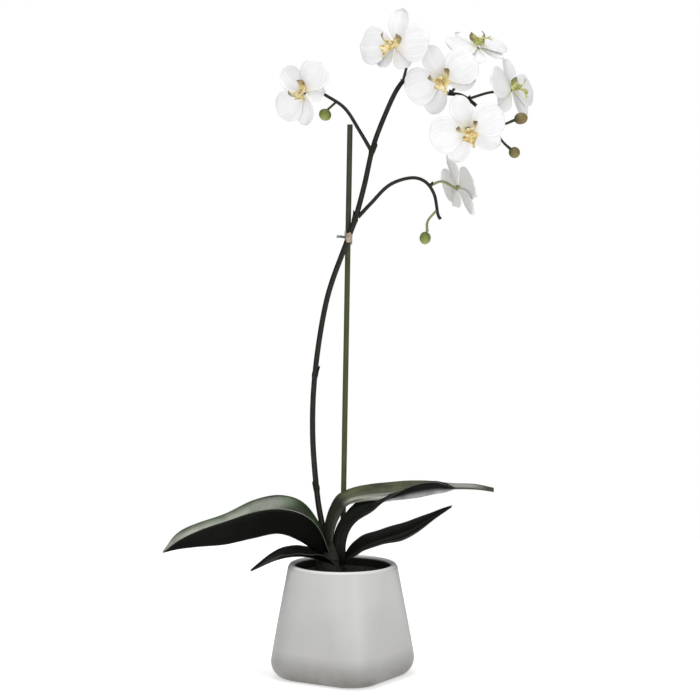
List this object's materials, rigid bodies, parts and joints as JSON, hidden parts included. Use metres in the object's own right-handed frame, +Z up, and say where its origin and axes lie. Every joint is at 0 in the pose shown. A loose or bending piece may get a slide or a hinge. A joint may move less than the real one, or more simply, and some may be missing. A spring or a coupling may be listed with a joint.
{
  "type": "potted orchid",
  "caption": "Moth orchid in a square-footed ceramic pot: arching leaves, a staked and branched spike of white flowers and closed buds.",
  "frame": {"origin": "centre of the pot's flat base, on the surface it stands on", "axes": "+Z up along the pot's axis; -Y towards the front the flowers face; +X towards the side the spike arches to"},
  "size_m": [0.4089, 0.1594, 0.7373],
  "materials": {
    "pot": "pale warm grey satin glaze",
    "potting_mix": "dark bark and fibre mix, matt",
    "crown": "dark green plant stem, satin",
    "leaf": "leathery dark green leaf with a gloss, near-black below",
    "stake": "olive green stained thin cane, satin",
    "tie": "pale beige soft tape, matt",
    "stem": "very dark green flower stem, satin",
    "green_bud": "yellow-green closed bud, satin",
    "brown_bud": "olive-brown closed bud, satin",
    "tepal": "white petal, soft satin, translucent",
    "lip": "yellow lip with brown marks, satin"
  },
  "bodies": {
    "root": {"pot": "pot", "potting_mix": "potting_mix", "crown": "crown", "leaf_left_large": "leaf", "leaf_left_small": "leaf", "leaf_right_long": "leaf", "leaf_right_middle": "leaf", "leaf_right_low": "leaf", "stake": "stake", "tie": "tie", "flower_spike": "stem", "left_branch": "stem", "right_branch": "stem", "bud_left": "green_bud", "bud_low": "green_bud", "bud_right_upper": "brown_bud", "bud_right_lower": "brown_bud", "flower_1_sepal_top": "tepal", "flower_1_sepal_left": "tepal", "flower_1_sepal_right": "tepal", "flower_1_petal_left": "tepal", "flower_1_petal_right": "tepal", "flower_1_lip": "lip", "flower_2_sepal_top": "tepal", "flower_2_sepal_left": "tepal", "flower_2_sepal_right": "tepal", "flower_2_petal_left": "tepal", "flower_2_petal_right": "tepal", "flower_2_lip": "lip", "flower_3_sepal_top": "tepal", "flower_3_sepal_left": "tepal", "flower_3_sepal_right": "tepal", "flower_3_petal_left": "tepal", "flower_3_petal_right": "tepal", "flower_3_lip": "lip", "flower_4_sepal_top": "tepal", "flower_4_sepal_left": "tepal", "flower_4_sepal_right": "tepal", "flower_4_petal_left": "tepal", "flower_4_petal_right": "tepal", "flower_4_lip": "lip", "flower_5_sepal_top": "tepal", "flower_5_sepal_left": "tepal", "flower_5_sepal_right": "tepal", "flower_5_petal_left": "tepal", "flower_5_petal_right": "tepal", "flower_5_lip": "lip", "flower_6_sepal_top": "tepal", "flower_6_sepal_left": "tepal", "flower_6_sepal_right": "tepal", "flower_6_petal_left": "tepal", "flower_6_petal_right": "tepal", "flower_6_lip": "lip", "flower_7_sepal_top": "tepal", "flower_7_sepal_left": "tepal", "flower_7_sepal_right": "tepal", "flower_7_petal_left": "tepal", "flower_7_petal_right": "tepal", "flower_7_lip": "lip"}
  },
  "joints": []
}
